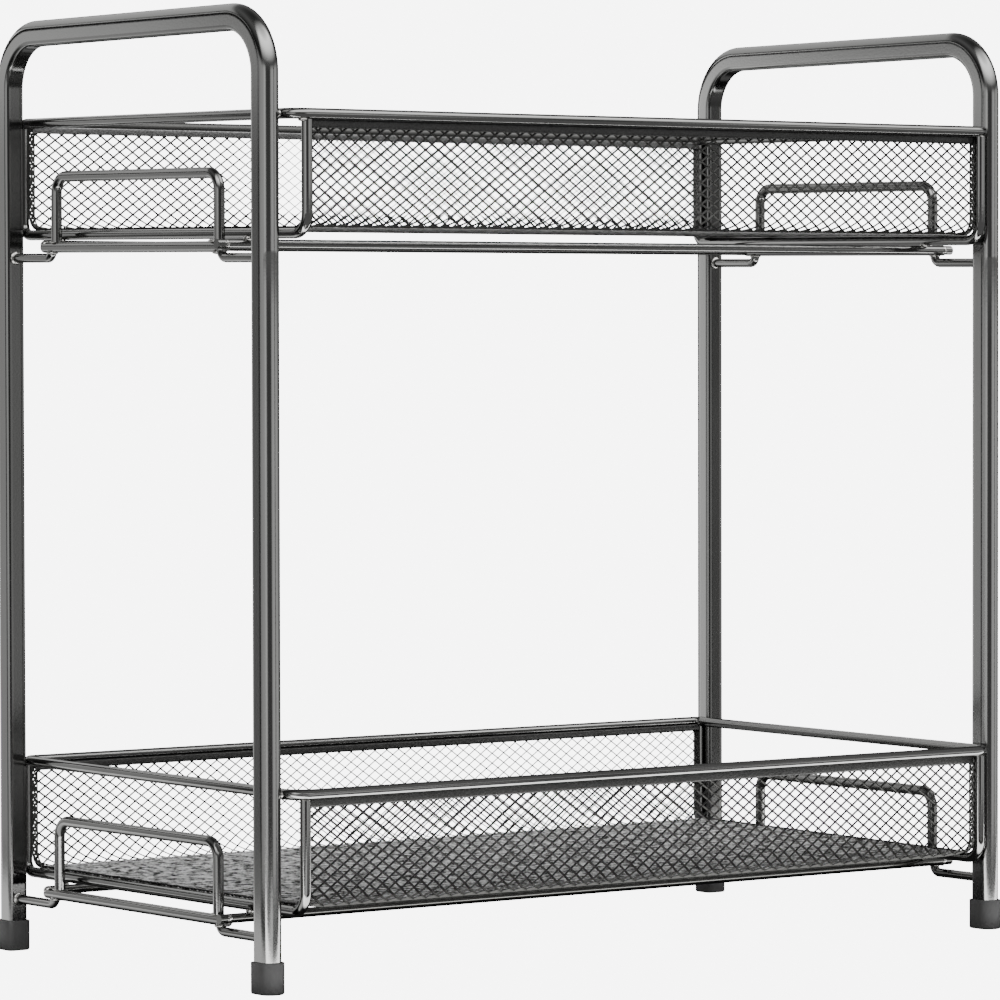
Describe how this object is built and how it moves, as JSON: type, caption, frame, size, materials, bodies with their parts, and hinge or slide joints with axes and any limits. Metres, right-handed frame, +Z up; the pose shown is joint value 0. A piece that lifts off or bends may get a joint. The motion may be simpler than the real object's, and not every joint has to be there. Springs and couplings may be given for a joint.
{
  "type": "tiered spice rack",
  "caption": "Countertop spice rack with open mesh trays on wire rims, held one above the other between inverted-U tube end frames on capped feet.",
  "frame": {"origin": "on the floor under the middle of the rack's bounding box", "axes": "+X along the rack from its left end frame to its right one, +Y from front to back, +Z up"},
  "size_m": [0.3984, 0.2154, 0.4],
  "materials": {
    "frame_plate": "glossy dark nickel plate on bent steel tube",
    "wire_plate": "glossy dark nickel plate on steel wire",
    "mesh_plate": "dark nickel plate on expanded steel mesh, a little duller",
    "foot_plastic": "dark grey moulded plastic, fine matt grain"
  },
  "bodies": {
    "root": {"left_end_frame": "frame_plate", "right_end_frame": "frame_plate", "foot_cap_front_left": "foot_plastic", "foot_cap_front_right": "foot_plastic", "foot_cap_back_left": "foot_plastic", "foot_cap_back_right": "foot_plastic", "lower_rim_wire": "wire_plate", "lower_base_loop": "wire_plate", "lower_mesh_basket": "mesh_plate", "lower_front_hem": "mesh_plate", "lower_back_hem": "mesh_plate", "lower_left_end_wire": "wire_plate", "lower_left_side_guard": "wire_plate", "lower_front_left_bracket": "wire_plate", "lower_back_left_bracket": "wire_plate", "lower_right_end_wire": "wire_plate", "lower_right_side_guard": "wire_plate", "lower_front_right_bracket": "wire_plate", "lower_back_right_bracket": "wire_plate", "upper_rim_wire": "wire_plate", "upper_base_loop": "wire_plate", "upper_mesh_basket": "mesh_plate", "upper_front_hem": "mesh_plate", "upper_back_hem": "mesh_plate", "upper_left_end_wire": "wire_plate", "upper_left_side_guard": "wire_plate", "upper_front_left_bracket": "wire_plate", "upper_back_left_bracket": "wire_plate", "upper_right_end_wire": "wire_plate", "upper_right_side_guard": "wire_plate", "upper_front_right_bracket": "wire_plate", "upper_back_right_bracket": "wire_plate"}
  },
  "joints": []
}
